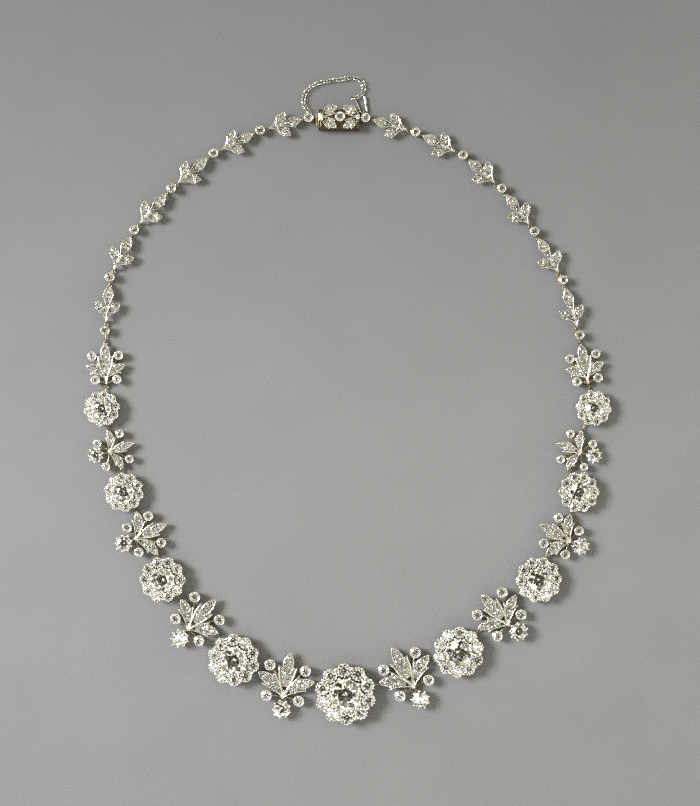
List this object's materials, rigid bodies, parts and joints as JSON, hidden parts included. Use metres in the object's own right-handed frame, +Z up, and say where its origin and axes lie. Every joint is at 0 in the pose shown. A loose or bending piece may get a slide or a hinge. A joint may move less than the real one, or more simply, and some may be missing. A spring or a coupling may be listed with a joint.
{
  "type": "diamond necklace",
  "caption": "Garland necklace of diamond flower clusters and leaf sprays on a chain of collets and trefoils, with a box clasp and safety chain, laid flat.",
  "frame": {"origin": "middle of the whole necklace's box, on the surface that its backs lie on", "axes": "+Y from the big flower at the front of the neck to the clasp, +X to the right seen from above, +Z up"},
  "size_m": [0.1319, 0.1626, 0.0057],
  "materials": {
    "platinum": "polished, softly worn",
    "gold": "satin yellow gold",
    "steel": "polished white metal wire",
    "diamond": "faceted, clear"
  },
  "bodies": {
    "root": {"flower_1": "platinum", "flower_2": "platinum", "flower_3": "platinum", "flower_4": "platinum", "flower_5": "platinum", "flower_6": "platinum", "flower_7": "platinum", "flower_8": "platinum", "flower_9": "platinum", "flower_stones_1": "diamond", "flower_stones_2": "diamond", "flower_stones_3": "diamond", "flower_stones_4": "diamond", "flower_stones_5": "diamond", "flower_stones_6": "diamond", "flower_stones_7": "diamond", "flower_stones_8": "diamond", "flower_stones_9": "diamond", "spray_1": "platinum", "spray_2": "platinum", "spray_3": "platinum", "spray_4": "platinum", "spray_5": "platinum", "spray_6": "platinum", "spray_7": "platinum", "spray_8": "platinum", "spray_9": "platinum", "spray_10": "platinum", "spray_stones_1": "diamond", "spray_stones_2": "diamond", "spray_stones_3": "diamond", "spray_stones_4": "diamond", "spray_stones_5": "diamond", "spray_stones_6": "diamond", "spray_stones_7": "diamond", "spray_stones_8": "diamond", "spray_stones_9": "diamond", "spray_stones_10": "diamond", "trefoil_left_1": "platinum", "trefoil_left_2": "platinum", "trefoil_left_3": "platinum", "trefoil_left_4": "platinum", "trefoil_left_5": "platinum", "trefoil_left_6": "platinum", "trefoil_right_1": "platinum", "trefoil_right_2": "platinum", "trefoil_right_3": "platinum", "trefoil_right_4": "platinum", "trefoil_right_5": "platinum", "trefoil_right_6": "platinum", "chain_collets_left": "platinum", "chain_collets_right": "platinum", "chain_stones_left": "diamond", "chain_stones_right": "diamond", "clasp_box": "gold", "clasp_tongue": "gold", "clasp_stones": "diamond", "safety_chain": "steel", "safety_pin": "steel"}
  },
  "joints": []
}
